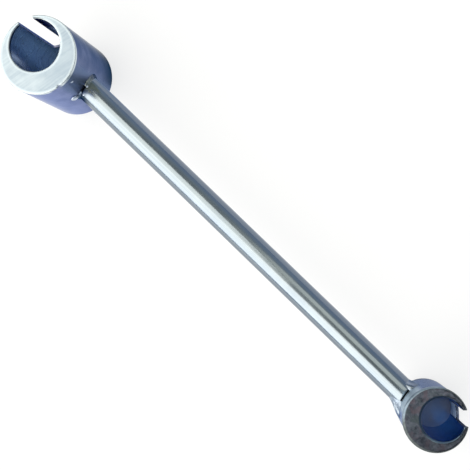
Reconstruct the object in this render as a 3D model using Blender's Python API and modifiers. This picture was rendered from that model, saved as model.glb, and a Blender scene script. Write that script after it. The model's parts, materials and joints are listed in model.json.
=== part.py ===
"""Double-ended hook spanner: a round rod with a slotted cup welded across each end.

Lengths are metres and angles are degrees. The origin is the centre of the large head's flat
rear face. +Z runs along that head's axis to its open end, and +X along the rod to the small head.
"""
import math
from dataclasses import dataclass

import bmesh
import bpy
from mathutils import Matrix, Vector

# Handle
ROD_DIAMETER = 0.010
ROD_HEIGHT = 0.0225          # rod axis above the large head's rear face
HEAD_SPACING = 0.195         # from one head axis to the other, along the rod
ROD_END_GAP = 0.0006         # open joint between a coped rod end and the head's wall

# Large head
LARGE_DIAMETER = 0.030
LARGE_LENGTH = 0.045
LARGE_BORE = 0.020
LARGE_BORE_DEPTH = 0.040
LARGE_BORE_OFFSET = 0.0039   # bore axis from the head's axis, towards the slot
LARGE_SLOT_WIDTH = 0.0057
LARGE_SLOT_LENGTH = 0.039    # from the open face to the slot's round end
LARGE_SLOT_ANGLE = 154.0     # slot direction, turned from +X
LARGE_SIDE = -0.0022         # head axis beside the rod axis, along Y

# Small head
SMALL_DIAMETER = 0.0217
SMALL_COLLAR_STEP = 0.0004   # how far the collar at the open end stands out
SMALL_COLLAR_HEIGHT = 0.0015
SMALL_LENGTH = 0.045
SMALL_BORE = 0.0148
SMALL_BORE_DEPTH = 0.040
SMALL_BORE_OFFSET = 0.0025
SMALL_SLOT_WIDTH = 0.0056
SMALL_SLOT_LENGTH = 0.024
SMALL_SLOT_ANGLE = 47.3
SMALL_SIDE = 0.0013
SMALL_TWIST = 4.0            # turn of the small head about the rod, out of line with the large head

# Edges and welds
EDGE_CHAMFER = 0.0005
MOUTH_CHAMFER = 0.0006
WELD_RADIUS = 0.0023         # of the round bead before it meets the rod and the wall
WELD_STAND_OFF = 0.0004      # bead's middle from the rod and from the wall
WELD_HALF_SPAN = 62.0        # each run's reach round the rod, to either side of Y
CLEARANCE = 0.0003           # between touching pieces

# Smoothness
HEAD_SEGMENTS = 96
ROD_SEGMENTS = 48
SLOT_END_POINTS = 16
WELD_POINTS = 13
WELD_RESOLUTION = 4
SHARP_ANGLE = 35.0
CUT_MARGIN = 0.005           # how far a cutter reaches past what it cuts


@dataclass
class Head:
    """One cup: where it stands, and the sizes that its blank, bore, slot and welds share."""

    name: str
    place: Matrix            # rear face centre and axes
    reach: float             # direction along X from the head to the rod's middle
    stations: list           # (radius, height) corners of the blank's outer side, from the top down
    wall_radius: float       # outside radius where the rod is welded
    length: float
    bore: float
    bore_depth: float
    bore_offset: float
    slot_width: float
    slot_length: float
    slot_angle: float


def clear_scene():
    for obj in list(bpy.data.objects):
        bpy.data.objects.remove(obj, do_unlink=True)


def new_collection(name):
    made = bpy.data.collections.new(name)
    bpy.context.scene.collection.children.link(made)
    return made


def steel(name, colour, roughness):
    """A plated or bare steel finish."""
    made = bpy.data.materials.new(name)
    made.use_nodes = True
    shader = made.node_tree.nodes["Principled BSDF"]
    shader.inputs["Base Color"].default_value = (*colour, 1.0)
    shader.inputs["Roughness"].default_value = roughness
    shader.inputs["Metallic"].default_value = 1.0
    return made


def add_object(name, data, group):
    obj = bpy.data.objects.new(name, data)
    group.objects.link(obj)
    return obj


def settle(obj):
    """Replace an object's curve or modifiers by the mesh that they make."""
    bpy.context.view_layer.update()
    graph = bpy.context.evaluated_depsgraph_get()
    mesh = bpy.data.meshes.new_from_object(obj.evaluated_get(graph))
    shape = bmesh.new()
    shape.from_mesh(mesh)
    bmesh.ops.remove_doubles(shape, verts=shape.verts, dist=1e-6)
    shape.to_mesh(mesh)
    shape.free()
    name = obj.name
    place = obj.matrix_world.copy()
    group = obj.users_collection[0]
    bpy.data.objects.remove(obj, do_unlink=True)
    made = add_object(name, mesh, group)
    made.matrix_world = place
    mesh.shade_smooth()
    mesh.set_sharp_from_angle(angle=math.radians(SHARP_ANGLE))
    return made


def as_cutter(obj):
    obj.hide_render = True
    obj.display_type = "WIRE"
    return obj


def cut(obj, cutter):
    step = obj.modifiers.new("cut " + cutter.name, "BOOLEAN")
    step.operation = "DIFFERENCE"
    step.solver = "EXACT"
    step.object = cutter


def turned(name, corners, group):
    """A solid of revolution about Z, from (radius, height) corners listed from the top down."""
    mesh = bpy.data.meshes.new(name)
    shape = bmesh.new()
    points = [shape.verts.new((radius, 0.0, height)) for radius, height in corners]
    for upper, lower in zip(points, points[1:]):
        shape.edges.new((upper, lower))
    shape.to_mesh(mesh)
    shape.free()
    obj = add_object(name, mesh, group)
    turn = obj.modifiers.new("turn", "SCREW")
    turn.axis = "Z"
    turn.angle = math.tau
    turn.steps = HEAD_SEGMENTS
    turn.render_steps = HEAD_SEGMENTS
    turn.use_merge_vertices = True
    turn.merge_threshold = 1e-6
    return settle(obj)


def cylinder(name, radius, bottom, top, segments, group):
    """An upright solid cylinder between two heights."""
    mesh = bpy.data.meshes.new(name)
    shape = bmesh.new()
    bmesh.ops.create_cone(
        shape, cap_ends=True, segments=segments, radius1=radius, radius2=radius, depth=top - bottom,
        matrix=Matrix.Translation((0.0, 0.0, (top + bottom) / 2)))
    shape.to_mesh(mesh)
    shape.free()
    return add_object(name, mesh, group)


def make_heads():
    """Both heads' places and sizes. The small head's rear rim just reaches the large head's rear plane."""
    large_radius = LARGE_DIAMETER / 2
    large = Head(
        "large", Matrix.Identity(4), 1.0,
        [(large_radius, LARGE_LENGTH), (large_radius, 0.0)], large_radius, LARGE_LENGTH,
        LARGE_BORE, LARGE_BORE_DEPTH, LARGE_BORE_OFFSET,
        LARGE_SLOT_WIDTH, LARGE_SLOT_LENGTH, LARGE_SLOT_ANGLE)

    twist = math.radians(SMALL_TWIST)
    body_radius = SMALL_DIAMETER / 2
    collar_radius = body_radius + SMALL_COLLAR_STEP
    collar_foot = SMALL_LENGTH - SMALL_COLLAR_HEIGHT
    rim_drop = (SMALL_SIDE + body_radius) * math.sin(twist)
    below_rod = (ROD_HEIGHT - rim_drop) / math.cos(twist)
    on_rod = Matrix.Translation((HEAD_SPACING, -LARGE_SIDE, ROD_HEIGHT))
    place = on_rod @ Matrix.Rotation(-twist, 4, "X") @ Matrix.Translation((0.0, SMALL_SIDE, -below_rod))
    small = Head(
        "small", place, -1.0,
        [(collar_radius, SMALL_LENGTH), (collar_radius, collar_foot),
         (body_radius, collar_foot - SMALL_COLLAR_STEP), (body_radius, 0.0)], body_radius, SMALL_LENGTH,
        SMALL_BORE, SMALL_BORE_DEPTH, SMALL_BORE_OFFSET,
        SMALL_SLOT_WIDTH, SMALL_SLOT_LENGTH, SMALL_SLOT_ANGLE)
    return large, small


def blank(head, group):
    """The turned cup before it is bored, with a small chamfer round both end faces."""
    top_radius, top = head.stations[0]
    foot_radius, foot = head.stations[-1]
    corners = [(0.0, top), (top_radius - EDGE_CHAMFER, top), (top_radius, top - EDGE_CHAMFER)]
    corners += head.stations[1:-1]
    corners += [(foot_radius, foot + EDGE_CHAMFER), (foot_radius - EDGE_CHAMFER, foot), (0.0, foot)]
    obj = turned(head.name + "_socket", corners, group)
    obj.matrix_world = head.place
    return obj


def bore_cutter(head, group):
    """The blind bore, standing beside the head's axis, with a chamfered mouth."""
    radius = head.bore / 2
    mouth = radius + MOUTH_CHAMFER + CUT_MARGIN
    corners = [(0.0, head.length + CUT_MARGIN), (mouth, head.length + CUT_MARGIN),
               (radius, head.length - MOUTH_CHAMFER), (radius, head.length - head.bore_depth),
               (0.0, head.length - head.bore_depth)]
    obj = as_cutter(turned(head.name + "_bore_cutter", corners, group))
    turn = Matrix.Rotation(math.radians(head.slot_angle), 4, "Z")
    obj.matrix_world = head.place @ turn @ Matrix.Translation((head.bore_offset, 0.0, 0.0))
    return obj


def slot_cutter(head, group):
    """A slot with a round closed end, from the bore's axis out through the thin side of the wall."""
    half = head.slot_width / 2
    foot = head.length - head.slot_length + half
    top = head.length + CUT_MARGIN
    outline = [(half, top), (-half, top)]
    for step in range(SLOT_END_POINTS + 1):
        angle = math.pi * (1 + step / SLOT_END_POINTS)
        outline.append((half * math.cos(angle), foot + half * math.sin(angle)))
    reach = head.wall_radius + CUT_MARGIN - head.bore_offset

    curve = bpy.data.curves.new(head.name + "_slot_cutter", "CURVE")
    curve.dimensions = "2D"
    curve.fill_mode = "BOTH"
    curve.extrude = reach / 2
    spline = curve.splines.new("POLY")
    spline.points.add(len(outline) - 1)
    for point, (across, height) in zip(spline.points, outline):
        point.co = (across, height, 0.0, 1.0)
    spline.use_cyclic_u = True
    obj = add_object(curve.name, curve, group)

    # The outline's own X lies across the slot, its Y along the head and its Z out through the wall.
    upright = Matrix(((0, 0, 1, 0), (1, 0, 0, 0), (0, 1, 0, 0), (0, 0, 0, 1)))
    turn = Matrix.Rotation(math.radians(head.slot_angle), 4, "Z")
    out = Matrix.Translation((head.bore_offset + reach / 2, 0.0, 0.0))
    obj.matrix_world = head.place @ turn @ out @ upright
    return as_cutter(settle(obj))


def wall_cutter(head, gap, label, group):
    """The head's outside, grown by a gap, to shape what is fitted against it."""
    obj = cylinder(head.name + label, head.wall_radius + gap, -CUT_MARGIN, head.length + CUT_MARGIN,
                   HEAD_SEGMENTS, group)
    obj.matrix_world = head.place
    return as_cutter(obj)


def socket(head, finish, parts, cutters):
    obj = blank(head, parts)
    cut(obj, bore_cutter(head, cutters))
    cut(obj, slot_cutter(head, cutters))
    obj = settle(obj)
    obj.data.materials.append(finish)
    return obj


def along_rod():
    """Turn a shape made upright so that its own Z lies along +X, on the rod's axis."""
    return Matrix.Translation((0.0, -LARGE_SIDE, ROD_HEIGHT)) @ Matrix.Rotation(math.pi / 2, 4, "Y")


def rod(heads, finish, parts, cutters):
    """The handle, coped at both ends to follow the heads' round walls."""
    obj = cylinder("handle_rod", ROD_DIAMETER / 2, 0.0, HEAD_SPACING, ROD_SEGMENTS, parts)
    obj.matrix_world = along_rod()
    for head in heads:
        cut(obj, wall_cutter(head, ROD_END_GAP, "_cope_cutter", cutters))
    obj = settle(obj)
    obj.data.materials.append(finish)
    return obj


def weld_path(head, facing):
    """Points of one weld run, in the head's own axes, along the corner of the rod and the wall."""
    ring = ROD_DIAMETER / 2 + WELD_STAND_OFF
    wall = head.wall_radius + WELD_STAND_OFF
    rod_at = head.place.inverted() @ Vector((head.place.translation.x, -LARGE_SIDE, ROD_HEIGHT))
    points = []
    for step in range(WELD_POINTS):
        turn = math.radians(WELD_HALF_SPAN) * (2 * step / (WELD_POINTS - 1) - 1)
        across = rod_at.y + facing * ring * math.cos(turn)
        height = rod_at.z + ring * math.sin(turn)
        points.append((head.reach * math.sqrt(wall ** 2 - across ** 2), across, height))
    return points


def weld_run(head, facing, label, finish, parts, cutters):
    """One fillet bead on one side of the rod, cut back to clear the rod and the wall."""
    curve = bpy.data.curves.new(head.name + "_weld_" + label, "CURVE")
    curve.dimensions = "3D"
    curve.bevel_depth = WELD_RADIUS
    curve.bevel_resolution = WELD_RESOLUTION
    curve.use_fill_caps = True
    path = weld_path(head, facing)
    spline = curve.splines.new("POLY")
    spline.points.add(len(path) - 1)
    for point, place in zip(spline.points, path):
        point.co = (*place, 1.0)
    obj = add_object(curve.name, curve, parts)
    obj.matrix_world = head.place
    obj = settle(obj)

    rod_space = cylinder(obj.name + "_rod_cutter", ROD_DIAMETER / 2 + CLEARANCE, 0.0, HEAD_SPACING,
                         ROD_SEGMENTS, cutters)
    rod_space.matrix_world = along_rod()
    cut(obj, as_cutter(rod_space))
    cut(obj, wall_cutter(head, CLEARANCE, "_wall_cutter_" + label, cutters))
    obj = settle(obj)
    obj.data.materials.append(finish)
    return obj


def main():
    clear_scene()
    parts = new_collection("hook_spanner")
    cutters = new_collection("cutters")
    heads = make_heads()
    finishes = {"large": steel("large_socket_zinc", (0.40, 0.44, 0.58), 0.30),
                "small": steel("small_socket_zinc", (0.33, 0.37, 0.50), 0.38)}
    rod(heads, steel("rod_bright_zinc", (0.62, 0.68, 0.72), 0.22), parts, cutters)
    for head in heads:
        socket(head, finishes[head.name], parts, cutters)
        bead = steel(head.name + "_weld_zinc", (0.36, 0.42, 0.46), 0.42)
        weld_run(head, 1.0, "left", bead, parts, cutters)
        weld_run(head, -1.0, "right", bead, parts, cutters)


main()
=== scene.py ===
"""Looks of the double-ended hook spanner: plated steel, ground faces, weld beads and a small studio.

Lengths are metres and angles are degrees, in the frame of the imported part, unless a comment says otherwise.
"""
import json
import math
from dataclasses import dataclass

import bmesh
import bpy
from mathutils import Matrix, Vector, noise


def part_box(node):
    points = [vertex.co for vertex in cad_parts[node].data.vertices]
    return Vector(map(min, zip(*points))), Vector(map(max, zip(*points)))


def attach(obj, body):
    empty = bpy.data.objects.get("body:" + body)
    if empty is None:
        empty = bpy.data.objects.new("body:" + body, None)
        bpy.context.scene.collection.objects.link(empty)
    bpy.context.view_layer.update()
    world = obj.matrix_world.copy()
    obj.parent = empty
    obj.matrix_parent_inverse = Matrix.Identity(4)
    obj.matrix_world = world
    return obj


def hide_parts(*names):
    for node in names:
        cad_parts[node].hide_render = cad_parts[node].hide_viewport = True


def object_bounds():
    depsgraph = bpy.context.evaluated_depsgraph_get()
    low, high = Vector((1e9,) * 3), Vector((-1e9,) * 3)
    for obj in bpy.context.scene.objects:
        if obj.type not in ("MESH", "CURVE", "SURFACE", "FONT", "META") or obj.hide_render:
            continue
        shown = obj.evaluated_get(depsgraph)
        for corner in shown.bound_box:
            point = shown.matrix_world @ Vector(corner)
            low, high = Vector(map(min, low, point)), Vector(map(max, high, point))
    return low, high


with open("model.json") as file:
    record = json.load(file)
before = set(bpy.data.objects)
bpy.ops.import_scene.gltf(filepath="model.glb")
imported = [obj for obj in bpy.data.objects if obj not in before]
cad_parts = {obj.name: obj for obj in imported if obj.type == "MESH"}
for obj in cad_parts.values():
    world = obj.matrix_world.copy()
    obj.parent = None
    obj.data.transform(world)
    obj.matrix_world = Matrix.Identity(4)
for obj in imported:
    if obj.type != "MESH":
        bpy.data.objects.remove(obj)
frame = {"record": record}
CAD_LOW, CAD_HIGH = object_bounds()
BODY = "root"

# Sizes that the frame's boxes and mounts don't give
LARGE_BORE_RADIUS = 0.0100
LARGE_SLOT_WIDTH = 0.0057
LARGE_SLOT_LENGTH = 0.0390
SMALL_BORE_RADIUS = 0.0074
SMALL_SLOT_WIDTH = 0.0056
SMALL_SLOT_LENGTH = 0.0240
SMALL_LENGTH = 0.0450
SMALL_RADIUS = 0.01085
SMALL_COLLAR_STEP = 0.0004
SMALL_COLLAR_HEIGHT = 0.0015
ROD_END_GAP = 0.0006  # from a head's wall to the rod's coped end

# Edge rounding
LARGE_RIM_ROUND = 0.0003
LARGE_MOUTH_ROUND = 0.0004
SMALL_RIM_ROUND = 0.0009
SMALL_MOUTH_ROUND = 0.0008
SLOT_ROUND = 0.00025
COLLAR_ROUND = 0.00015
ROD_END_ROUND = 0.0003
WIDEST_ROUND = 0.0009
ROUND_STEPS = 3
SHARP_ANGLE = 30.0  # faces that meet at more than this meet at an edge
WELD_SHARP_ANGLE = 50.0

# Mesh layout
RING_COLUMNS = 288
SLOT_COLUMNS = 24
WALL_STEPS = 6
FOOT_ROWS = 8
SLOT_END_ROWS = 8
WALL_ROWS = 20
ROD_COLUMNS = 128
ROD_ROWS = 240
WELD_STATIONS = 120
WELD_FACE_POINTS = 14
DROP_SUBDIVISIONS = 3
DISC_RINGS = (1.0, 0.93, 0.6, 0.3)  # shares of a disc's radius
KNEE_SHARE = 0.6  # of the wall below a slot, above which its rows bend to the slot's end
MERGE_DISTANCE = 2e-6
WALL_TOLERANCE = 1e-4
HEIGHT_TOLERANCE = 1e-5

# Camera, fitted to the photograph's 470 x 470 frame
CAMERA_PLACE = Vector((0.1465, 0.0314, 0.3603))
CAMERA_TARGET = Vector((0.0976, 0.0008, 0.0225))
CAMERA_UP = Vector((-0.688, 0.725, 0.034))
CAMERA_LENS_MM = 68.65
SENSOR_MM = 36.0
CAMERA_CLIP = 0.01


def rod_line():
    """The rod's radius and the middle of its box."""
    low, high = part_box("handle_rod")
    return (high.z - low.z) / 2, (low + high) / 2


def mount(name):
    return next(m for m in frame["record"]["mounts"] if m["name"] == name)


@dataclass
class Cup:
    """One head: its place, and sizes in its own axes, with Z from the rear face to the open face."""

    name: str
    place: Matrix
    reach: float  # direction along X from the head to the rod
    profile: list  # (height, radius) of the outside, from the rear face up
    bore_radius: float
    bore_offset: float  # bore axis from the head's axis, along the slot's direction
    floor: float  # height of the bore's blind end
    slot_half: float
    slot_foot: float  # height at which the slot's round end starts
    slot_turn: float  # slot direction about Z, in radians
    rim_round: float
    mouth_round: float

    @property
    def length(self):
        return self.profile[-1][0]

    @property
    def wall_radius(self):
        """Outside radius at the rod."""
        return self.profile[0][1]

    def radius(self, height):
        """Outside radius at a height."""
        for (low, low_radius), (high, high_radius) in zip(self.profile, self.profile[1:]):
            if height <= high:
                share = (height - low) / (high - low)
                return low_radius + share * (high_radius - low_radius)
        return self.profile[-1][1]

    def rod_axis(self):
        """A point of the rod's axis beside the head."""
        _, middle = rod_line()
        return self.place.inverted() @ Vector((self.place.translation.x, middle.y, middle.z))

    def turned(self, along, across, height):
        """A point given along and across the slot's direction."""
        return Matrix.Rotation(self.slot_turn, 4, "Z") @ Vector((along, across, height))

    def off_slot(self, point):
        """A point's distance from the upright plane through the slot's middle."""
        back = Matrix.Rotation(self.slot_turn, 4, "Z").inverted()
        return abs((back @ Vector((point.x, point.y, 0.0))).y)

    def off_bore(self, point):
        """A point's distance from the bore's axis."""
        axis = self.turned(self.bore_offset, 0.0, 0.0)
        return (Vector((point.x, point.y, 0.0)) - axis).length

    def roundness(self, point):
        """Rounding of the edge whose middle is at a point, which is none at the bore's floor."""
        on_bore = abs(self.off_bore(point) - self.bore_radius) < WALL_TOLERANCE
        on_outside = abs(math.hypot(point.x, point.y) - self.radius(point.z)) < WALL_TOLERANCE
        if point.z > self.length - HEIGHT_TOLERANCE:
            return self.mouth_round if on_bore else self.rim_round if on_outside else SLOT_ROUND
        if point.z < HEIGHT_TOLERANCE:
            return self.rim_round
        if on_bore and point.z < self.floor + HEIGHT_TOLERANCE:
            return 0.0
        return COLLAR_ROUND if self.off_slot(point) > self.slot_half + WALL_TOLERANCE else SLOT_ROUND

    def ring_point(self, centre, radius, share, height):
        """A point of a round wall, at a share of the way round from one side of the slot to the other."""
        start = math.asin(self.slot_half / radius)
        angle = start + share * (math.tau - 2 * start)
        return self.turned(centre + radius * math.cos(angle), radius * math.sin(angle), height)

    def slot_point(self, centre, radius, side, height):
        """A point of a round wall within the slot's width, at a distance from the slot's middle."""
        return self.turned(centre + math.sqrt(radius ** 2 - side ** 2), side, height)

    def outside(self, share, height):
        return self.ring_point(0.0, self.radius(height), share, height)

    def inside(self, share, height):
        return self.ring_point(self.bore_offset, self.bore_radius, share, height)

    def slot_outside(self, side, height):
        return self.slot_point(0.0, self.radius(height), side, height)

    def slot_inside(self, side, height):
        return self.slot_point(self.bore_offset, self.bore_radius, side, height)


def place_cup(name, reach, profile, bore_radius, slot_width, slot_length, rim_round, mouth_round):
    """A head placed by its rear face's mount, with its bore placed by its floor's mount."""
    rear = mount(name + "_rear_face")
    up = -Vector(rear["axis"])
    lean = math.atan2(up.y, up.z)
    place = Matrix.Translation(rear["pos_m"]) @ Matrix.Rotation(-lean, 4, "X")
    bore = place.inverted() @ Vector(mount(name + "_bore_floor")["pos_m"])
    half = slot_width / 2
    top, _ = profile[-1]
    return Cup(name=name, place=place, reach=reach, profile=profile, bore_radius=bore_radius,
               bore_offset=math.hypot(bore.x, bore.y), floor=bore.z, slot_half=half,
               slot_foot=top - slot_length + half, slot_turn=math.atan2(bore.y, bore.x),
               rim_round=rim_round, mouth_round=mouth_round)


def make_cups():
    low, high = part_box("large_socket")
    radius = (high.x - low.x) / 2
    large = place_cup("large", 1.0, [(0.0, radius), (high.z - low.z, radius)], LARGE_BORE_RADIUS,
                      LARGE_SLOT_WIDTH, LARGE_SLOT_LENGTH, LARGE_RIM_ROUND, LARGE_MOUTH_ROUND)
    collar = SMALL_LENGTH - SMALL_COLLAR_HEIGHT
    collar_radius = SMALL_RADIUS + SMALL_COLLAR_STEP
    profile = [(0.0, SMALL_RADIUS), (collar - SMALL_COLLAR_STEP, SMALL_RADIUS), (collar, collar_radius),
               (SMALL_LENGTH, collar_radius)]
    small = place_cup("small", -1.0, profile, SMALL_BORE_RADIUS, SMALL_SLOT_WIDTH, SMALL_SLOT_LENGTH,
                      SMALL_RIM_ROUND, SMALL_MOUTH_ROUND)
    return large, small


# Mesh helpers

def spread(low, high, steps):
    """Evenly spaced values from low to high, with both ends."""
    return [low + (high - low) * i / steps for i in range(steps + 1)]


def patch(shape, points, finish):
    """A grid of quads through rows of points."""
    rows = [[shape.verts.new(p) for p in row] for row in points]
    for row, after in zip(rows, rows[1:]):
        for corners in zip(row, row[1:], after[1:], after):
            shape.faces.new(corners).material_index = finish


def fan(shape, rim, middle, finish):
    """Triangles from a closed rim to its middle."""
    hub = shape.verts.new(middle)
    ring = [shape.verts.new(p) for p in rim]
    for a, b in zip(ring, ring[1:] + ring[:1]):
        shape.faces.new((a, b, hub)).material_index = finish


def disc(shape, rim, middle, finish):
    """A flat face inside a closed rim, as rings and a fan round its middle."""
    rings = [[middle + share * (p - middle) for p in rim] for share in DISC_RINGS]
    patch(shape, [ring + ring[:1] for ring in rings], finish)
    fan(shape, rings[-1], middle, finish)


def join(shape):
    """Join the points that a shape's patches share, and turn its faces outwards."""
    bmesh.ops.remove_doubles(shape, verts=shape.verts, dist=MERGE_DISTANCE)
    bmesh.ops.recalc_face_normals(shape, faces=shape.faces)


def add_object(name, data):
    obj = bpy.data.objects.new(name, data)
    bpy.context.scene.collection.objects.link(obj)
    return obj


def as_object(shape, name, finishes):
    """An object with a shape's mesh and some finishes. The shape is used up."""
    mesh = bpy.data.meshes.new(name)
    shape.to_mesh(mesh)
    shape.free()
    for finish in finishes:
        mesh.materials.append(finish)
    return add_object(name, mesh)


def smooth(mesh, sharp_angle):
    mesh.shade_smooth()
    mesh.set_sharp_from_angle(angle=math.radians(sharp_angle))


def rounded_object(shape, name, finishes, roundness, edge_index):
    """An object of a shape's joined patches. roundness gives a sharp edge's rounding from its middle."""
    join(shape)
    weight = shape.edges.layers.float.new("bevel_weight_edge")
    for edge in shape.edges:
        if len(edge.link_faces) == 2 and edge.calc_face_angle() > math.radians(SHARP_ANGLE):
            middle = (edge.verts[0].co + edge.verts[1].co) / 2
            edge[weight] = roundness(middle) / WIDEST_ROUND
    obj = as_object(shape, name, finishes)
    rounding = obj.modifiers.new("rounding", "BEVEL")
    rounding.limit_method = "WEIGHT"
    rounding.width = WIDEST_ROUND
    rounding.segments = ROUND_STEPS
    rounding.material = edge_index
    rounding.use_clamp_overlap = False
    rounding.miter_outer = "MITER_ARC"
    graph = bpy.context.evaluated_depsgraph_get()
    mesh = bpy.data.meshes.new_from_object(obj.evaluated_get(graph))
    obj.modifiers.clear()
    obj.data = mesh
    smooth(mesh, SHARP_ANGLE)
    return obj


# Heads

WALL, FACE, BORE, FLOOR, SLOT, SLOT_END, MOUTH, EDGE = range(8)
MOUTH_MARGIN = 1.1  # depth of the mouth's rounded edge, in roundings
NICK_REACH = 3  # from a nick's middle to where it ends, in widths


def slot_rows(cup):
    """Heights of a wall's rows beside the slot, with a row at each corner of the outside."""
    rows = spread(cup.slot_foot, cup.length, WALL_ROWS)
    for height, _ in cup.profile[1:-1]:
        nearest = min(range(len(rows)), key=lambda i: abs(rows[i] - height))
        rows[nearest] = height
    return rows


def cup_mesh(cup, finishes):
    """The slotted, eccentrically bored cup, with patches that share their edges' points."""
    shape = bmesh.new()
    turns = [math.radians(a) for a in spread(-90.0, 90.0, SLOT_COLUMNS)]
    sides = [cup.slot_half * math.sin(a) for a in turns]
    ends = [cup.slot_foot - cup.slot_half * math.cos(a) for a in turns]
    shares = spread(0.0, 1.0, RING_COLUMNS)
    top_rows = slot_rows(cup)

    def wall(ring_point, slot_point, foot, finish):
        """A round wall up from a foot height, with the slot left open. It returns its foot's rim."""
        knee = foot + KNEE_SHARE * (min(ends) - foot)
        low_rows = spread(foot, knee, FOOT_ROWS)
        for rows in (low_rows, spread(knee, cup.slot_foot, SLOT_END_ROWS), top_rows):
            patch(shape, [[ring_point(s, h) for s in shares] for h in rows], finish)
        patch(shape, [[slot_point(v, h) for v in sides] for h in low_rows], finish)
        patch(shape, [[slot_point(v, knee + t * (end - knee)) for v, end in zip(sides, ends)]
                      for t in spread(0.0, 1.0, SLOT_END_ROWS)], finish)
        return [ring_point(s, foot) for s in shares[:-1]] + [slot_point(v, foot) for v in sides[:-1]]

    def across(outer, inner, finish):
        """A patch across the wall's thickness, between a line outside and a line inside."""
        steps = spread(0.0, 1.0, WALL_STEPS)
        patch(shape, [[a.lerp(b, t) for a, b in zip(outer, inner)] for t in steps], finish)

    rear_rim = wall(cup.outside, cup.slot_outside, 0.0, WALL)
    floor_rim = wall(cup.inside, cup.slot_inside, cup.floor, BORE)
    disc(shape, rear_rim, Vector((0.0, 0.0, 0.0)), FACE)
    disc(shape, floor_rim, cup.turned(cup.bore_offset, 0.0, cup.floor), FLOOR)
    across([cup.outside(s, cup.length) for s in shares], [cup.inside(s, cup.length) for s in shares], FACE)
    across([cup.slot_outside(v, h) for v, h in zip(sides, ends)],
           [cup.slot_inside(v, h) for v, h in zip(sides, ends)], SLOT_END)
    for share in (0.0, 1.0):
        across([cup.outside(share, h) for h in top_rows], [cup.inside(share, h) for h in top_rows], SLOT)

    obj = rounded_object(shape, cup.name + "_cup", finishes, cup.roundness, EDGE)
    mark_edges(obj.data, cup)
    obj.matrix_world = cup.place
    return obj


def mark_edges(mesh, cup):
    """Give the slot's rounded edges the slot end's finish, and the bore's mouth its own."""
    for face in mesh.polygons:
        if face.material_index != EDGE:
            continue
        spot = face.center
        if cup.off_slot(spot) < cup.slot_half + SLOT_ROUND and spot.z < cup.length - cup.rim_round:
            face.material_index = SLOT_END
        near_mouth = spot.z > cup.length - MOUTH_MARGIN * cup.mouth_round
        if near_mouth and cup.off_bore(spot) < cup.bore_radius + cup.mouth_round:
            face.material_index = MOUTH


def nick(obj, cup, angle, width, push):
    """A dent in the open face's rim, or with a positive push a burr, at an angle about the head's axis."""
    out = Vector((math.cos(math.radians(angle)), math.sin(math.radians(angle)), 0.0))
    spot = cup.radius(cup.length) * out + Vector((0.0, 0.0, cup.length))
    for vertex in obj.data.vertices:
        distance = (vertex.co - spot).length
        if distance < NICK_REACH * width:
            vertex.co += push * math.exp(-(distance / width) ** 2) * out


# Handle

BAR, GROOVE = range(2)
CORE_SHARE = 0.5  # radius of the core that bridges the gap, as a share of the rod's
CORE_HUB = 0.3  # radius of the fan in the core's end, as a share of the rod's
CORE_SINK = 0.00005  # how far the core goes into a head's wall
END_RINGS = (1.0, 0.9, 0.7, CORE_SHARE)  # shares of the rod's radius in its end face
OUTER_SHARE = 0.95  # an edge further out than this share of the radius is the bar's own


def rod_mesh(cups, finishes):
    """The drawn bar, coped at both ends, with a thinner core that bridges the gap to each head's wall."""
    shape = bmesh.new()
    radius, middle = rod_line()

    def spot(angle, scale):
        return middle.y + scale * radius * math.cos(angle), middle.z + scale * radius * math.sin(angle)

    def end(cup, y, z, gap):
        """X at which a line along the rod is a gap away from a head's wall."""
        local = cup.place.inverted() @ Vector((cup.place.translation.x, y, z))
        wall = cup.wall_radius + gap
        return cup.place.translation.x + cup.reach * math.sqrt(wall ** 2 - local.y ** 2)

    def surface(angle, share):
        y, z = spot(angle, 1.0)
        start, stop = (end(cup, y, z, ROD_END_GAP) for cup in cups)
        return Vector((start + share * (stop - start), y, z))

    def end_point(cup, angle, scale, gap):
        y, z = spot(angle, scale)
        return Vector((end(cup, y, z, gap), y, z))

    turns = spread(0.0, math.tau, ROD_COLUMNS)
    turns[-1] = turns[0]
    patch(shape, [[surface(a, s) for a in turns] for s in spread(0.0, 1.0, ROD_ROWS)], BAR)
    for cup in cups:
        steps = [(scale, ROD_END_GAP) for scale in END_RINGS]
        steps += [(scale, -CORE_SINK) for scale in (CORE_SHARE, CORE_HUB)]
        rings = [[end_point(cup, a, scale, gap) for a in turns] for scale, gap in steps]
        patch(shape, rings, GROOVE)
        fan(shape, rings[-1][:-1], end_point(cup, 0.0, 0.0, -CORE_SINK), GROOVE)

    def roundness(point):
        """Rounding for the bar's outer end edges only."""
        across = math.hypot(point.y - middle.y, point.z - middle.z)
        return ROD_END_ROUND if across > OUTER_SHARE * radius else 0.0

    return rounded_object(shape, "rod_bar", finishes, roundness, BAR)


# Welds

RUN, SPATTER = range(2)
WELD_SINK = 0.00006  # how far a run's toes go into the rod and the wall
WELD_ROOT = 0.0004  # how far its root goes in behind the corner
WELD_LEAST_TIP = 0.12  # a run's smallest section, as a share of its full one
WANDER = 0.14  # how much a run's width varies
WANDER_SCALE = 700.0  # noise units in a metre, here and below
RIPPLE_PITCH = 0.0011
RIPPLE_LAG = 0.35  # how far a ripple's ends trail behind, as a share of the rod's leg
RIPPLE_SHARPNESS = 0.7
UNEVENNESS = 0.25  # shift of a ripple, in pitches
UNEVEN_SCALE = 500.0
UNEVEN_SEED = 7
ROUGHNESS = 0.5  # height of the roughness, in ripples
ROUGH_SCALE = 2600.0
DROP_FLATNESS = 0.5
DROP_LUMPS = 0.25  # height of a drop's lumps, as a share of its radius
DROP_LUMP_SCALE = 0.8  # noise units in a drop's radius


@dataclass
class Drop:
    """A drop of weld metal beside a run, in the head's axes."""

    place: tuple
    outward: tuple  # away from what it landed on
    radius: float


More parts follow.
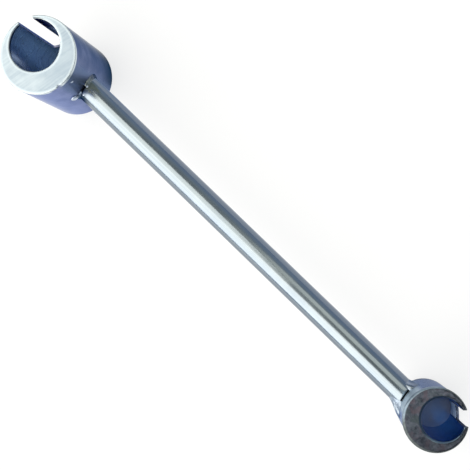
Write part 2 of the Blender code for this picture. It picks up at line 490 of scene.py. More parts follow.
@dataclass
class Bead:
    """One weld run: its side of the rod, the angles round the rod that it covers, and its section."""

    label: str
    facing: float  # 1 on the +Y side of the rod, -1 on the other
    high: float  # where it stops above the rod's middle height, in degrees
    rod_leg: float
    wall_leg: float
    hollow: float  # how far it follows the rod before it leaves it, as a share of its leg
    full: float  # how far it stands off the wall, as a share of the rod's leg
    lean: float  # how far its upper end leans out along the wall, in degrees
    tip: float  # share of half the run over which an end rounds off
    ripple: float
    seed: float
    drops: tuple = ()
    low: float = -62.0  # where it starts below the rod's middle height, in degrees


@dataclass
class Station:
    """One section of a run: where the rod meets the wall there, and the way out from both."""

    along: float  # from -1 at the run's lower end to 1 at its upper end
    turn: float  # angle about the rod, in radians
    swing: float  # angle about the head, in radians
    corner: Vector
    off_rod: Vector
    off_wall: Vector
    travelled: float  # along the corner, from the lower end


def weld_stations(cup, bead):
    """Sections along the corner of the rod and the head's wall, on the run's side of the rod."""
    radius, _ = rod_line()
    rod = cup.rod_axis()
    stations = []
    travelled = 0.0
    for step in range(WELD_STATIONS + 1):
        turn = math.radians(bead.low + (bead.high - bead.low) * step / WELD_STATIONS)
        off_rod = Vector((0.0, bead.facing * math.cos(turn), math.sin(turn)))
        side = rod.y + radius * off_rod.y
        swing = math.asin(side / cup.wall_radius)
        off_wall = Vector((cup.reach * math.cos(swing), math.sin(swing), 0.0))
        corner = Vector((cup.reach * cup.wall_radius * math.cos(swing), side, rod.z + radius * off_rod.z))
        if stations:
            travelled += (corner - stations[-1].corner).length
        along = 2 * step / WELD_STATIONS - 1
        stations.append(Station(along, turn, swing, corner, off_rod, off_wall, travelled))
    return stations


def ripple(bead, travelled, share):
    """How far ripples lift a run's face, at a share of the way across it from the rod to the wall."""
    lag = RIPPLE_LAG * bead.rod_leg * (2 * share - 1) ** 2
    uneven = UNEVENNESS * noise.noise(Vector((bead.seed + UNEVEN_SEED, travelled * UNEVEN_SCALE, share * 2)))
    phase = (travelled + lag) / RIPPLE_PITCH + uneven
    crest = (0.5 + 0.5 * math.cos(math.tau * phase)) ** RIPPLE_SHARPNESS - 0.5
    rough = ROUGHNESS * noise.noise(Vector((bead.seed, travelled * ROUGH_SCALE, share * 9)))
    return bead.ripple * (crest + rough) * math.sin(math.pi * share) ** RIPPLE_SHARPNESS


def weld_section(cup, bead, at):
    """A ring round a run at a station: its rippled face from the rod's toe to the wall's, and its root."""
    wander = 1.0 + WANDER * noise.noise(Vector((bead.seed, at.travelled * WANDER_SCALE, 0.0)))
    past = max(0.0, (abs(at.along) - 1 + bead.tip) / bead.tip)
    taper = wander * max(WELD_LEAST_TIP, math.sqrt(1 - past ** 2))
    rod_toe = at.corner + Vector((cup.reach * bead.rod_leg * taper, 0.0, 0.0)) - WELD_SINK * at.off_rod
    climb = min(1.0, max(0.0, at.turn / math.radians(bead.high)))
    lay = at.turn - math.radians(bead.lean) * climb ** 2 * (3 - 2 * climb)
    reached = at.swing + bead.facing * bead.wall_leg * taper * math.cos(lay) / cup.wall_radius
    wall_toe = Vector((cup.reach * cup.wall_radius * math.cos(reached), cup.wall_radius * math.sin(reached),
                       at.corner.z + bead.wall_leg * taper * math.sin(lay)))
    wall_toe -= WELD_SINK * at.off_wall
    leave = rod_toe.lerp(at.corner, bead.hollow)
    arrive = wall_toe + bead.full * (rod_toe - at.corner)
    face_out = ((at.off_rod + at.off_wall) / 2).normalized()
    ring = []
    for t in spread(0.0, 1.0, WELD_FACE_POINTS):
        u = 1 - t
        spot = u ** 3 * rod_toe + 3 * u * u * t * leave + 3 * u * t * t * arrive + t ** 3 * wall_toe
        ring.append(spot + ripple(bead, at.travelled, t) * taper * face_out)
    ring.append(at.corner - WELD_ROOT * (at.off_rod + at.off_wall))
    return ring


def add_drop(shape, drop):
    """A lumpy drop of weld metal, flattened against what it landed on."""
    spot = Vector(drop.place)
    outward = Vector(drop.outward).normalized()
    made = bmesh.ops.create_icosphere(shape, subdivisions=DROP_SUBDIVISIONS, radius=drop.radius,
                                      matrix=Matrix.Translation(spot))
    for vertex in made["verts"]:
        off = vertex.co - spot
        off *= 1.0 + DROP_LUMPS * noise.noise(DROP_LUMP_SCALE * vertex.co / drop.radius)
        vertex.co = spot + off - DROP_FLATNESS * off.dot(outward) * outward
        for face in vertex.link_faces:
            face.material_index = SPATTER


def weld_mesh(cup, bead, finishes):
    """A rippled bead along the corner of the rod and the head's wall, with the drops beside it."""
    shape = bmesh.new()
    rings = [weld_section(cup, bead, station) for station in weld_stations(cup, bead)]
    patch(shape, [ring + ring[:1] for ring in rings], RUN)
    for ring in (rings[0], rings[-1]):
        shape.faces.new([shape.verts.new(p) for p in ring])
    for drop in bead.drops:
        add_drop(shape, drop)
    join(shape)
    obj = as_object(shape, cup.name + "_bead_" + bead.label, finishes)
    smooth(obj.data, WELD_SHARP_ANGLE)
    obj.matrix_world = cup.place
    return obj


# Finishes

NOISE_DETAIL = 4.0


class Nodes:
    """A node tree, with short ways to add to it."""

    def __init__(self, tree):
        self.tree = tree

    def feed(self, socket, value):
        """Link a socket to another, or set it. A colour gets its alpha here."""
        if isinstance(value, bpy.types.NodeSocket):
            self.tree.links.new(value, socket)
        elif isinstance(value, tuple) and len(value) < len(socket.default_value):
            socket.default_value = (*value, 1.0)
        else:
            socket.default_value = value

    def add(self, kind, settings=None, **inputs):
        node = self.tree.nodes.new(kind)
        for key, value in (settings or {}).items():
            setattr(node, key, value)
        for key, value in inputs.items():
            self.feed(node.inputs[key.replace("_", " ")], value)
        return node

    def math(self, operation, *values):
        node = self.add("ShaderNodeMath", {"operation": operation})
        for socket, value in zip(node.inputs, values):
            self.feed(socket, value)
        return node.outputs[0]


class Graph(Nodes):
    """A metal finish's node tree, with short ways to add what the finishes share."""

    def __init__(self, name):
        self.material = bpy.data.materials.new(name)
        self.material.use_nodes = True
        super().__init__(self.material.node_tree)
        self.shader = self.tree.nodes["Principled BSDF"]
        self.shader.inputs["Metallic"].default_value = 1.0
        self.place = self.add("ShaderNodeTexCoord").outputs["Object"]
        self.along, self.side, self.height = self.add("ShaderNodeSeparateXYZ", Vector=self.place).outputs

    def stretch(self, scale, turn=0.0):
        """The object's own coordinates, turned about Z and scaled along each axis."""
        turned = self.add("ShaderNodeMapping", Vector=self.place, Rotation=(0.0, 0.0, math.radians(-turn)))
        return self.add("ShaderNodeMapping", Vector=turned.outputs[0], Scale=scale).outputs[0]

    def noise(self, place, scale=1.0, detail=NOISE_DETAIL, roughness=0.55, distortion=0.0):
        return self.add("ShaderNodeTexNoise", Vector=place, Scale=scale, Detail=detail, Roughness=roughness,
                        Distortion=distortion).outputs[0]

    def line_noise(self, value, scale):
        """Noise along one value, such as a height, for turning marks."""
        return self.add("ShaderNodeTexNoise", {"noise_dimensions": "1D"}, W=value, Scale=scale,
                        Detail=NOISE_DETAIL).outputs[0]

    def span(self, value, low, high, to_low, to_high):
        """A value's range from low to high, drawn onto another range."""
        return self.add("ShaderNodeMapRange", Value=value, From_Min=low, From_Max=high, To_Min=to_low,
                        To_Max=to_high).outputs[0]

    def fade(self, value, start, stop, most=1.0):
        """A share that grows from 0, where a value is at start, to its most, where it is at stop."""
        return self.span(value, start, stop, 0.0, most)

    def patchy(self, texture):
        """A noise's middle range, as a share from 0 to 1."""
        return self.fade(texture, 0.35, 0.65)

    def vary(self, texture, low, high):
        """A noise's usual range, drawn onto another range."""
        return self.span(texture, 0.3, 0.7, low, high)

    def times(self, *values):
        """The product of some values."""
        product = values[0]
        for value in values[1:]:
            product = self.math("MULTIPLY", product, value)
        return product

    def blend(self, first, second, weight):
        """Two noises added up, the first with a weight and the second with the rest."""
        return self.math("ADD", self.times(first, weight), self.times(second, 1.0 - weight))

    def mix(self, share, first, second):
        node = self.add("ShaderNodeMix", {"data_type": "RGBA"})
        for index, value in ((0, share), (6, first), (7, second)):
            self.feed(node.inputs[index], value)
        return node.outputs[2]

    def off(self, value, place):
        """A value's distance from a place."""
        return self.math("ABSOLUTE", self.math("SUBTRACT", value, place))

    def radius(self, x=0.0, y=0.0):
        """Distance from an upright axis at x, y."""
        off_x = self.off(self.along, x)
        off_y = self.off(self.side, y)
        return self.math("SQRT", self.math("ADD", self.times(off_x, off_x), self.times(off_y, off_y)))

    def toward(self, angle):
        """Distance along a level direction, given by its angle from X."""
        turn = math.radians(angle)
        return self.math("ADD", self.times(self.along, math.cos(turn)), self.times(self.side, math.sin(turn)))

    def bump(self, height, strength, distance, normal=None):
        node = self.add("ShaderNodeBump", Height=height, Strength=strength, Distance=distance)
        if normal is not None:
            self.feed(node.inputs["Normal"], normal)
        return node.outputs[0]

    def finish(self, colour, roughness, normal, edge=None):
        """The finished material. edge is the tint of its reflections at a flat angle."""
        inputs = self.shader.inputs
        self.feed(inputs["Base Color"], colour)
        self.feed(inputs["Roughness"], roughness)
        self.feed(inputs["Normal"], normal)
        if edge is not None:
            self.feed(inputs["Specular Tint"], edge)
        return self.material


# Rod finish, with fades along the rod in X, and across it in shares of its radius towards +Y
FAR_FLANK_SHADE_ACROSS = (0.5, 0.8)
NEAR_FLANK_SHADE_ACROSS = (-0.72, -0.9)
NEAR_FLANK_SHADE_ALONG = (0.03, 0.18)
BURNT_ALONG = (0.0205, 0.0188)
BURNT_RAGGED = 0.0035
BURNT_NEAR_EDGE = (-0.35, -0.1)
BURNT_FAR_EDGE = (0.75, 0.55)
CORNER_SHADE_ALONG = (0.0215, 0.0175)
CORNER_SHADE_ACROSS = (-0.55, -0.7)
END_SHADE_ALONG = (0.0184, 0.0168)
END_SHADE_ACROSS = (-0.05, -0.2)
SHADED_ALONG = (0.045, 0.020)
SHADED_ACROSS = (0.55, 0.8)


def rod_finish():
    """Bright drawn bar under blue-bright zinc, with lengthwise die lines, burnt beside the large weld, and
    painted shade on its flanks and in the corner by the large weld.
    """
    g = Graph("rod_zinc")
    radius, middle = rod_line()
    off = g.math("DIVIDE", g.math("SUBTRACT", g.side, middle.y), radius)
    lines = g.noise(g.stretch((14.0, 2600.0, 2600.0)))
    grain = g.noise(g.stretch((500.0, 2200.0, 2200.0)), detail=2.0)
    ragged = g.noise(g.stretch((160.0, 520.0, 520.0)), roughness=0.65)
    clouds = g.noise(g.place, scale=90.0)
    tone = g.blend(lines, clouds, 0.6)

    # Painted shade: both flanks are darker than the top, the -Y one more so further along the rod from the
    # large head.
    far_flank_shade = g.fade(off, *FAR_FLANK_SHADE_ACROSS, most=0.8)
    near_flank_shade = g.times(g.fade(off, *NEAR_FLANK_SHADE_ACROSS), g.span(g.along, *NEAR_FLANK_SHADE_ALONG, 0.6, 0.95))
    ragged_along = g.math("ADD", g.along, g.vary(ragged, BURNT_RAGGED, -BURNT_RAGGED))
    burnt = g.times(g.fade(ragged_along, *BURNT_ALONG), g.fade(off, *BURNT_NEAR_EDGE),
                    g.fade(off, *BURNT_FAR_EDGE))
    # Painted shade in the corner where the rod's -Y flank meets the large weld, in colour and edge tint.
    corner_shade = g.times(g.fade(g.along, *CORNER_SHADE_ALONG, most=0.95), g.fade(off, *CORNER_SHADE_ACROSS))
    end_shade = g.times(g.fade(g.along, *END_SHADE_ALONG, most=0.85), g.fade(off, *END_SHADE_ACROSS))
    shaded = g.times(g.fade(g.along, *SHADED_ALONG), g.fade(off, *SHADED_ACROSS))

    colour = g.mix(g.patchy(tone), (0.275, 0.325, 0.375), (0.345, 0.395, 0.428))
    burnt_colour = g.mix(g.fade(clouds, 0.4, 0.6), (0.11, 0.14, 0.135), (0.25, 0.28, 0.24))
    for share, over in ((far_flank_shade, (0.14, 0.175, 0.24)), (near_flank_shade, (0.14, 0.18, 0.235)),
                        (burnt, burnt_colour), (corner_shade, (0.05, 0.075, 0.115)),
                        (end_shade, (0.06, 0.085, 0.12))):
        colour = g.mix(share, colour, over)
    edge = g.mix(corner_shade, g.mix(shaded, (1.0, 1.0, 1.0), (0.50, 0.60, 0.80)), (0.12, 0.18, 0.28))
    roughness = g.math("ADD", g.vary(tone, 0.16, 0.25), g.times(burnt, 0.2))
    normal = g.bump(grain, 0.05, 0.0001, g.bump(lines, 0.06, 0.0002))
    return g.finish(colour, roughness, normal, edge)


# Wall finish, with places in a head's own axes
ROUGH_SPREAD = 0.05  # how far a finish's roughness varies to either side
TINT_TURN = (0.007, -0.008)  # Y between which the edge tint turns from the far one, darker as painted shade, to the near one
FOOT_FULL = 0.0022  # height below which the shade above the rear rim is full
FOOT_SIDE = (-0.006, 0.002)
WELD_ZONE_ACROSS = (1.25, 0.85)  # in rod radii from the rod's axis
WELD_ZONE_TOWARD = (0.5, 0.8)  # in wall radii from the head's axis
HIGHLIGHT_BAND_FROM = 0.003  # X at which the painted highlight band below the large rim starts
HIGHLIGHT_BAND_SLOPE = 0.150  # how much deeper the band is for each metre further
HIGHLIGHT_BAND_BORDER = 0.0003
DENT_SIDE = -0.0045  # Y of the middle of the band's break, beside the rim's dent
DENT_BREAK = (0.0016, 0.0028)


def highlight_band(g, cup):
    """A share for the painted highlight band below a rim, deeper towards +X, with a break at the dent."""
    depth = g.times(g.math("SUBTRACT", g.along, HIGHLIGHT_BAND_FROM), HIGHLIGHT_BAND_SLOPE)
    band = g.fade(g.math("ADD", g.height, depth), cup.length, cup.length + HIGHLIGHT_BAND_BORDER)
    return g.times(band, g.fade(g.off(g.side, DENT_SIDE), *DENT_BREAK))


def wall_finish(cup, dark, light, rough, far_edge, near_edge, rod_zone_colour, rod_zone_edge, foot_top,
                highlight_below_rim=False):
    """Turned, zinc-plated wall: fine rings, cloudy passivation, and an edge tint that turns from grey to
    lilac.

    far_edge and near_edge are its edge tints towards +Y and -Y, the darker far one painting shade into that
    side's reflections; the next two are the colour and edge tint beside the rod's end. foot_top is the height
    at which the shade above the rear rim ends.
    """
    g = Graph(cup.name + "_wall")
    rod_radius, _ = rod_line()
    rings = g.line_noise(g.height, scale=3200.0)
    clouds = g.noise(g.place, scale=130.0)
    grain = g.noise(g.place, scale=2400.0, detail=3.0)
    tone = g.blend(rings, clouds, 0.35)
    # Painted shade: the edge tint is darker towards +Y, which darkens that side's reflections.
    near = g.math("ADD", g.fade(g.side, *TINT_TURN), g.vary(clouds, -0.15, 0.15))
    foot = g.times(g.fade(g.height, foot_top, FOOT_FULL, most=0.85), g.fade(g.side, *FOOT_SIDE))
    # Beside the rod's end the wall takes its own colour and edge tint: darker on the large head, paler on the
    # small.
    off_rod = g.off(g.side, cup.rod_axis().y)
    toward_rod = g.times(g.along, cup.reach)
    zone = g.times(g.fade(off_rod, *(share * rod_radius for share in WELD_ZONE_ACROSS), most=0.9),
                   g.fade(toward_rod, *(share * cup.wall_radius for share in WELD_ZONE_TOWARD)))

    colour = g.mix(g.patchy(tone), dark, light)
    edge = g.mix(near, far_edge, near_edge)
    patches = [(foot, (0.145, 0.175, 0.225), (0.16, 0.19, 0.235)),
               (zone, rod_zone_colour, rod_zone_edge)]
    # A painted highlight band below the large rim, in colour and edge tint.
    if highlight_below_rim:
        patches.append((highlight_band(g, cup), (0.66, 0.73, 0.76), (0.85, 0.92, 0.95)))
    for share, over, over_edge in patches:
        colour = g.mix(share, colour, over)
        edge = g.mix(share, edge, over_edge)
    roughness = g.math("ADD", g.vary(tone, rough - ROUGH_SPREAD, rough + ROUGH_SPREAD),
                       g.times(zone, 0.25))
    normal = g.bump(grain, 0.04, 0.0001, g.bump(rings, 0.05, 0.0002))
    return g.finish(colour, roughness, normal, edge)


# Face finishes, with places in a head's own axes
GRIND_TURN = 77.0  # direction of the belt's streaks, from X
GROUND_DARK = (0.28, 0.342, 0.408)
GROUND_LIGHT = (0.38, 0.443, 0.500)
GROUND_SHADE = (0.80, 0.84, 0.89)  # times the dark colour
GROUND_BORDER = 1.12  # times the light colour
GROUND_SHADE_TURN = 44.0  # direction from X in which the face darkens
GROUND_SHADE_REACH = (0.002, 0.014)
OUTER_BORDER = (0.0012, 0.0006)  # inwards from the rim
INNER_BORDER = (0.0013, 0.0007)  # outwards from the bore
STAINED_SHADE_TURN = -46.0
STAINED_SHADE_REACH = (0.001, 0.011)


def ground_finish(cup):
    """A face ground straight across on a belt: streaks of many lengths, with brighter borders."""
    g = Graph(cup.name + "_face")
    long = g.noise(g.stretch((70.0, 1500.0, 70.0), GRIND_TURN), detail=5.0)
    short = g.noise(g.stretch((420.0, 5200.0, 420.0), GRIND_TURN), detail=3.0)
    clouds = g.noise(g.place, scale=160.0, detail=3.0)
    bore = cup.turned(cup.bore_offset, 0.0, 0.0)
    outer = g.fade(g.radius(), *(cup.wall_radius - inwards for inwards in OUTER_BORDER))
    inner = g.fade(g.radius(bore.x, bore.y), *(cup.bore_radius + outwards for outwards in INNER_BORDER))
    shade = g.fade(g.toward(GROUND_SHADE_TURN), *GROUND_SHADE_REACH, most=0.45)
    colour = g.mix(g.fade(g.blend(long, clouds, 0.55), 0.36, 0.62), GROUND_DARK, GROUND_LIGHT)
    colour = g.mix(shade, colour, tuple(c * f for c, f in zip(GROUND_DARK, GROUND_SHADE)))
    colour = g.mix(g.math("MAXIMUM", outer, inner), colour, tuple(GROUND_BORDER * c for c in GROUND_LIGHT))
    normal = g.bump(short, 0.12, 0.0001, g.bump(long, 0.18, 0.0002))
    return g.finish(colour, g.vary(short, 0.28, 0.40), normal)


def stained_finish(cup):
    """A dull sawn face: grainy grey with darker, pinkish and greenish blotches."""
    g = Graph(cup.name + "_face")
    blotches = g.noise(g.place, scale=480.0, roughness=0.6)
    grain = g.noise(g.place, scale=1500.0, roughness=0.7)
    stains = g.noise(g.place, scale=330.0, detail=2.0, roughness=0.5, distortion=0.6)
    shade = g.fade(g.toward(STAINED_SHADE_TURN), *STAINED_SHADE_REACH, most=0.5)
    tone = g.blend(blotches, grain, 0.6)
    colour = g.mix(g.fade(tone, 0.38, 0.62), (0.043, 0.052, 0.070), (0.162, 0.180, 0.228))
    colour = g.mix(g.fade(stains, 0.52, 0.68, most=0.7), colour, (0.125, 0.100, 0.125))
    colour = g.mix(g.fade(stains, 0.46, 0.32, most=0.7), colour, (0.080, 0.105, 0.115))
    colour = g.mix(shade, colour, (0.035, 0.037, 0.052))
    normal = g.bump(grain, 0.3, 0.0002, g.bump(blotches, 0.25, 0.0004))
    return g.finish(colour, g.vary(grain, 0.34, 0.52), normal)


# Bore finishes, with places in a head's own axes
LARGE_BORE_EDGE = (0.50, 0.64, 0.88)
LARGE_MOUTH_COLOUR = (0.06, 0.09, 0.16)
LARGE_MOUTH_DEPTHS = (0.0018, 0.0010)  # below the open face, between which the bore darkens
LARGE_FAR_SHADE_COLOUR = (0.03, 0.08, 0.28)
LARGE_FAR_SIDE = (0.0055, 0.0080)  # Y between which the painted shade on the bore's far side starts
LARGE_FAR_DEPTHS = (0.0130, 0.0100)
SMALL_BORE_EDGE = (0.20, 0.455, 0.895)
UNDER_SLOT_COLOUR = (0.48, 0.61, 0.82)
UNDER_SLOT_EDGE = (0.55, 0.66, 0.85)
UNDER_SLOT_BORDER = (0.0002, -0.0004)  # beyond the slot's sides
UNDER_SLOT_START = 0.002  # past the bore's axis, towards the slot
UNDER_SLOT_METALLIC = 0.6
UNDER_SLOT_DULLNESS = 0.3
UNDER_SLOT_LEAN = -3.0  # slope of the bump that tilts the patch up towards the mouth
MOUTH_HIGHLIGHT_TURN = -20.0  # direction from X in which the small bore's mouth has a painted highlight
MOUTH_HIGHLIGHT_REACH = (0.0015, 0.0055)  # from the bore's axis


def drilled(name, dark, light, rough):
    """A graph with the colour, roughness and normal of a drilled surface: rings under dark passivation, which
    the small bore and slot darken further as painted shade.
    """
    g = Graph(name)
    rings = g.line_noise(g.height, scale=2200.0)
    clouds = g.noise(g.place, scale=200.0)
    tone = g.blend(rings, clouds, 0.4)
    colour = g.mix(g.patchy(tone), dark, light)
    return g, colour, g.vary(tone, rough - ROUGH_SPREAD, rough + ROUGH_SPREAD), g.bump(rings, 0.07, 0.0003)


def drilled_finish(name, dark, light, rough, edge):
    g, colour, roughness, normal = drilled(name, dark, light, rough)
    return g.finish(colour, roughness, normal, edge)


def large_bore_finish(cup):
    """A drilled bore that is dark inside its mouth, with painted shade in deep blue on the far side of its
    upper end.
    """
    g, colour, roughness, normal = drilled("large_bore", (0.36, 0.43, 0.54), (0.46, 0.53, 0.64), 0.26)
    mouth = g.fade(g.height, *(cup.length - depth for depth in LARGE_MOUTH_DEPTHS))
    # Painted shade on the far side of the bore's upper end.
    far = g.times(g.fade(g.side, *LARGE_FAR_SIDE),
                  g.fade(g.height, *(cup.length - depth for depth in LARGE_FAR_DEPTHS)))
    colour = g.mix(far, g.mix(mouth, colour, LARGE_MOUTH_COLOUR), LARGE_FAR_SHADE_COLOUR)
    return g.finish(colour, roughness, normal, g.mix(far, LARGE_BORE_EDGE, LARGE_FAR_SHADE_COLOUR))


def small_bore_finish(cup):
    """A drilled bore in dark navy, partly passivation and partly painted shade of its depth, with a paler and
    duller patch of wall below the slot's closed end.
    """
    # Dark navy, partly passivation and partly painted shade.
    g, colour, roughness, normal = drilled("small_bore", (0.050, 0.165, 0.415), (0.09, 0.235, 0.535), 0.16)
    turn = math.degrees(cup.slot_turn)
    off_slot = g.math("ABSOLUTE", g.toward(turn + 90.0))
    below = g.times(g.fade(off_slot, *(cup.slot_half + beyond for beyond in UNDER_SLOT_BORDER)),
                    g.fade(g.toward(turn), cup.bore_offset, cup.bore_offset + UNDER_SLOT_START))
    colour = g.mix(below, colour, UNDER_SLOT_COLOUR)
    edge = g.mix(below, SMALL_BORE_EDGE, UNDER_SLOT_EDGE)
    roughness = g.math("ADD", roughness, g.times(below, UNDER_SLOT_DULLNESS))
    g.feed(g.shader.inputs["Metallic"], g.span(below, 0.0, 1.0, 1.0, UNDER_SLOT_METALLIC))
    normal = g.bump(g.times(g.height, UNDER_SLOT_LEAN), below, 1.0, normal)
    return g.finish(colour, roughness, normal, edge)


def mouth_finish(cup):
    """A bore's rounded mouth, dark, with a painted highlight on one side only."""
    g = Graph(cup.name + "_mouth")
    wear = g.noise(g.place, scale=600.0, roughness=0.6)
    bore_at = cup.bore_offset * math.cos(cup.slot_turn - math.radians(MOUTH_HIGHLIGHT_TURN))
    # Painted highlight on one side of the mouth.
    mouth_highlight = g.fade(g.math("SUBTRACT", g.toward(MOUTH_HIGHLIGHT_TURN), bore_at), *MOUTH_HIGHLIGHT_REACH)
    colour = g.mix(mouth_highlight, g.mix(wear, (0.03, 0.05, 0.08), (0.07, 0.10, 0.14)),
                   g.mix(wear, (0.12, 0.18, 0.24), (0.20, 0.26, 0.32)))
    return g.finish(colour, g.vary(wear, 0.30, 0.40), g.bump(wear, 0.08, 0.0002))


# Edge and weld finishes, with places in a head's own axes
SMALL_HIGHLIGHT_TURN = 170.0  # direction from X in which the small rim has a painted highlight
SMALL_HIGHLIGHT_REACH = (0.0050, 0.0085)
WELD_OVER = (-0.5, -0.2)  # in rod radii across the rod, where a run's colour turns to its top one
WELD_PAST = (0.5, 0.9)  # and to its far one


def edge_finish(name, dark, light, pale_highlight=False):
    """Edges rubbed by handling, and, where asked, a paler painted highlight on the side towards the rod."""
    g = Graph(name)
    wear = g.noise(g.place, scale=700.0, roughness=0.65)
    colour = g.mix(g.patchy(wear), dark, light)
    if pale_highlight:
        # A painted highlight on the small rim's side towards the rod.
        pale = g.mix(g.patchy(wear), (0.17, 0.22, 0.27), (0.27, 0.34, 0.41))
        colour = g.mix(g.fade(g.toward(SMALL_HIGHLIGHT_TURN), *SMALL_HIGHLIGHT_REACH), colour, pale)
    return g.finish(colour, g.vary(wear, 0.38, 0.5), g.bump(wear, 0.08, 0.0002))


def groove_finish():
    """Bare, sooty metal deep in the weld's gap."""
    g = Graph("weld_gap")
    soot = g.noise(g.place, scale=900.0)
    colour = g.mix(g.patchy(soot), (0.010, 0.026, 0.034), (0.032, 0.066, 0.080))
    return g.finish(colour, g.vary(soot, 0.5, 0.7), g.bump(soot, 0.2, 0.0002))


def weld_finish(cup, near, top, far):
    """Weld metal under thin zinc with patchy heat tint.

    near, top and far are (colour, edge tint) on the rod's -Y side, over it and on its +Y side; the darker far
    pair is painted shade.
    """
    g = Graph(cup.name + "_weld_zinc")
    radius, _ = rod_line()
    rod_side = cup.rod_axis().y
    patches = g.noise(g.place, scale=420.0)
    grain = g.noise(g.place, scale=3000.0, detail=3.0)
    over = g.fade(g.side, *(rod_side + share * radius for share in WELD_OVER))
    # Painted shade: the +Y side takes the darker far pair.
    past = g.fade(g.side, *(rod_side + share * radius for share in WELD_PAST), most=0.85)
    colour, edge = (g.mix(past, g.mix(over, a, b), c) for a, b, c in zip(near, top, far))
    colour = g.mix(g.fade(patches, 0.65, 0.35, most=0.5), colour, (0.06, 0.08, 0.10))
    colour = g.mix(g.fade(grain, 0.6, 0.8, most=0.3), colour, (0.20, 0.19, 0.15))
    return g.finish(colour, g.vary(grain, 0.20, 0.34), g.bump(grain, 0.06, 0.0001), edge)


# Studio

PANEL_DISTANCE = 1.3
FLOOR_SIZE = 6.0
FLOOR_CELLS = 8
FLOOR_DROP = 0.0001  # below the part, so that no faces coincide
FLOOR_GREY = (0.28, 0.28, 0.28)
FLOOR_GLOW = 0.72
SKY_LOW, SKY_LOW_COLOUR = 0.25, (0.38, 0.47, 0.60, 1.0)
SKY_HIGH, SKY_HIGH_COLOUR = 0.85, (0.25, 0.275, 0.275, 1.0)


def placed(place, right, back):
    """A matrix that puts an object at a place, with its X to the right and its Z to the back."""
    return Matrix.Translation(place) @ Matrix((right, back.cross(right), back)).transposed().to_4x4()


def panel(name, across, along, radiance, colour):
    """A soft box seen from the tool's middle between two angles towards -Y and two angles towards +X."""
    low, high = (math.radians(a) for a in across)
    middle = (low + high) / 2
    out = Vector((0.0, -math.sin(middle), math.cos(middle)))
    start, stop = (PANEL_DISTANCE * math.tan(math.radians(a)) for a in along)
    light = bpy.data.lights.new(name, "AREA")
    light.shape = "RECTANGLE"
    light.size = stop - start
    light.size_y = 2 * PANEL_DISTANCE * math.tan((high - low) / 2)
    light.energy = radiance * math.pi * light.size * light.size_y
    light.color = colour
    lengthwise = Vector((1.0, 0.0, 0.0))
    centre = CAMERA_TARGET + PANEL_DISTANCE * out + lengthwise * (start + stop) / 2
    obj = add_object(name, light)
    obj.matrix_world = placed(centre, lengthwise, out)
    obj.visible_camera = False


def floor_finish():
    """Plain white floor that keeps its shadows, also where the metal mirrors it."""
    made = bpy.data.materials.new("floor_white")
    made.use_nodes = True
    nodes = Nodes(made.node_tree)
    made.node_tree.nodes.remove(made.node_tree.nodes["Principled BSDF"])
    seen = nodes.add("ShaderNodeLightPath").outputs
    shown = seen["Is Camera Ray"]
    for ray in ("Is Glossy Ray", "Is Transmission Ray"):
        shown = nodes.math("MAXIMUM", shown, seen[ray])
    lit = nodes.add("ShaderNodeBsdfDiffuse", Color=FLOOR_GREY)
    glow = nodes.add("ShaderNodeEmission", Strength=nodes.math("MULTIPLY", shown, FLOOR_GLOW))
    both = nodes.add("ShaderNodeAddShader")
    nodes.feed(both.inputs[0], lit.outputs[0])
    nodes.feed(both.inputs[1], glow.outputs[0])
    nodes.feed(made.node_tree.nodes["Material Output"].inputs["Surface"], both.outputs[0])
    return made


def lay_floor():
    shape = bmesh.new()
    bmesh.ops.create_grid(shape, x_segments=FLOOR_CELLS, y_segments=FLOOR_CELLS, size=FLOOR_SIZE)
    floor = as_object(shape, "floor", [floor_finish()])
    floor.location = (0.0, 0.0, CAD_LOW.z - FLOOR_DROP)


def hang_sky():
    """A grey room overhead that turns bluer and lighter towards its horizon."""
    world = bpy.data.worlds.new("studio")
    world.use_nodes = True
    nodes = Nodes(world.node_tree)
    place = nodes.add("ShaderNodeTexCoord").outputs["Generated"]
    height = nodes.add("ShaderNodeSeparateXYZ", Vector=place).outputs[2]
    ramp = nodes.add("ShaderNodeValToRGB", Fac=height)
    low, high = ramp.color_ramp.elements
    low.position, low.color = SKY_LOW, SKY_LOW_COLOUR
    high.position, high.color = SKY_HIGH, SKY_HIGH_COLOUR
    nodes.feed(world.node_tree.nodes["Background"].inputs["Color"], ramp.outputs[0])
    bpy.context.scene.world = world


def set_camera():
    data = bpy.data.cameras.new("camera")
    data.lens = CAMERA_LENS_MM
    data.sensor_width = SENSOR_MM
    data.clip_start = CAMERA_CLIP
    back = (CAMERA_PLACE - CAMERA_TARGET).normalized()
    camera = add_object("camera", data)
    camera.matrix_world = placed(CAMERA_PLACE, CAMERA_UP.cross(back).normalized(), back)
    bpy.context.scene.camera = camera


def studio():
    bpy.context.scene.view_settings.view_transform = "Standard"
    lay_floor()
    hang_sky()
    panel("key_side", across=(15.0, 78.0), along=(-60.0, 25.0), radiance=2.5, colour=(1.0, 0.945, 0.865))
    panel("key_top", across=(-15.0, 15.0), along=(-60.0, -4.8), radiance=1.95, colour=(1.0, 0.945, 0.825))
    panel("fill_far_side", across=(-45.0, -16.0), along=(-5.0, 30.0), radiance=0.95,
          colour=(1.0, 0.965, 0.82))
    set_camera()


# Pieces

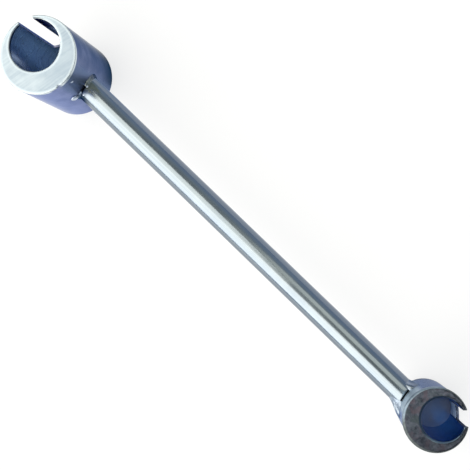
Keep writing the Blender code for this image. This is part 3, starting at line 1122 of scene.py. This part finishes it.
def large_finishes(cup):
    """The large head's finishes, in the order of their indices from WALL to EDGE."""
    edge = edge_finish("large_edge", (0.44, 0.50, 0.53), (0.58, 0.63, 0.65))
    return (wall_finish(cup, dark=(0.20, 0.235, 0.37), light=(0.30, 0.335, 0.49), rough=0.17,
                        far_edge=(0.26, 0.31, 0.40), near_edge=(0.56, 0.63, 0.87),
                        rod_zone_colour=(0.20, 0.25, 0.37), rod_zone_edge=(0.30, 0.38, 0.55), foot_top=0.0150,
                        highlight_below_rim=True),
            ground_finish(cup),
            large_bore_finish(cup),
            drilled_finish("large_floor", (0.25, 0.34, 0.44), (0.35, 0.45, 0.55), 0.3, (0.5, 0.6, 0.8)),
            drilled_finish("large_slot", (0.07, 0.10, 0.22), (0.12, 0.16, 0.30), 0.3, (0.25, 0.32, 0.60)),
            edge_finish("large_slot_end", (0.40, 0.41, 0.54), (0.50, 0.51, 0.64)),
            edge,
            edge)


def small_finishes(cup):
    """The small head's finishes, in the same order."""
    # The paler colour and edge tint beside the rod's end paint a lighter reflection on the small wall.
    return (wall_finish(cup, dark=(0.22, 0.26, 0.38), light=(0.32, 0.36, 0.49), rough=0.28,
                        far_edge=(0.21, 0.28, 0.44), near_edge=(0.32, 0.44, 0.68),
                        rod_zone_colour=(0.44, 0.53, 0.60), rod_zone_edge=(0.75, 0.83, 0.88), foot_top=0.0055),
            stained_finish(cup),
            small_bore_finish(cup),
            drilled_finish("small_floor", (0.265, 0.270, 0.325), (0.350, 0.350, 0.405), 0.36,
                           (0.65, 0.67, 0.82)),
            # The small slot's sides are dark navy as painted shade.
            drilled_finish("small_slot", (0.012, 0.03, 0.08), (0.02, 0.045, 0.11), 0.3, (0.06, 0.12, 0.28)),
            edge_finish("small_slot_end", (0.19, 0.22, 0.32), (0.245, 0.29, 0.39)),
            mouth_finish(cup),
            edge_finish("small_edge", (0.055, 0.066, 0.070), (0.13, 0.15, 0.155), pale_highlight=True))


def large_beads():
    off_wall = (1.0, -0.2, 0.0)
    off_rod = (0.0, -0.4, 1.0)
    off_rod_side = (0.0, -1.0, 0.0)
    left_drops = (Drop((0.0158, 0.0027, 0.0273), off_rod, 0.0006),
                  Drop((0.0149, 0.0011, 0.0395), off_wall, 0.0006))
    right_drops = (Drop((0.0146, -0.0037, 0.0258), off_wall, 0.0016),
                   Drop((0.0167, -0.0005, 0.0266), off_rod, 0.0005),
                   Drop((0.0237, -0.0027, 0.0222), off_rod_side, 0.0007))
    return (Bead("left", facing=1.0, high=88.0, rod_leg=0.0016, wall_leg=0.0009, hollow=0.3, full=0.3,
                 lean=25.0, tip=0.3, ripple=0.00010, seed=3.0, drops=left_drops),
            Bead("right", facing=-1.0, high=60.0, rod_leg=0.0008, wall_leg=0.0008, hollow=0.2, full=0.4,
                 lean=60.0, tip=0.3, ripple=0.00005, seed=11.0, drops=right_drops))


def small_beads():
    return (Bead("left", facing=1.0, high=64.0, rod_leg=0.0036, wall_leg=0.0016, hollow=0.4, full=0.4,
                 lean=42.0, tip=0.22, ripple=0.00004, seed=4.0),
            Bead("right", facing=-1.0, high=55.0, rod_leg=0.0056, wall_leg=0.0044, hollow=0.5, full=0.5,
                 lean=84.0, tip=0.35, ripple=0.00003, seed=12.0))


def show(piece, node):
    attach(piece, BODY)
    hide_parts(node)


def build():
    large, small = make_cups()
    large_cup = cup_mesh(large, large_finishes(large))
    nick(large_cup, large, angle=-11.6, width=0.0008, push=-0.0007)
    nick(large_cup, large, angle=-75.0, width=0.0005, push=0.0003)
    show(large_cup, "large_socket")
    show(cup_mesh(small, small_finishes(small)), "small_socket")
    show(rod_mesh((large, small), (rod_finish(), groove_finish())), "handle_rod")
    large_metal = weld_finish(large, near=((0.12, 0.16, 0.22), (0.22, 0.30, 0.44)),
                              top=((0.27, 0.30, 0.28), (0.40, 0.46, 0.46)),
                              far=((0.09, 0.11, 0.17), (0.16, 0.21, 0.36)))
    bright = ((0.36, 0.42, 0.49), (0.80, 0.88, 1.0))
    small_metal = weld_finish(small, near=bright, top=bright, far=((0.20, 0.24, 0.33), (0.36, 0.44, 0.62)))
    spatter = edge_finish("weld_spatter", (0.50, 0.57, 0.66), (0.62, 0.69, 0.78))
    for head, beads, metal in ((large, large_beads(), large_metal), (small, small_beads(), small_metal)):
        for bead in beads:
            show(weld_mesh(head, bead, (metal, spatter)), head.name + "_weld_" + bead.label)


build()
studio()
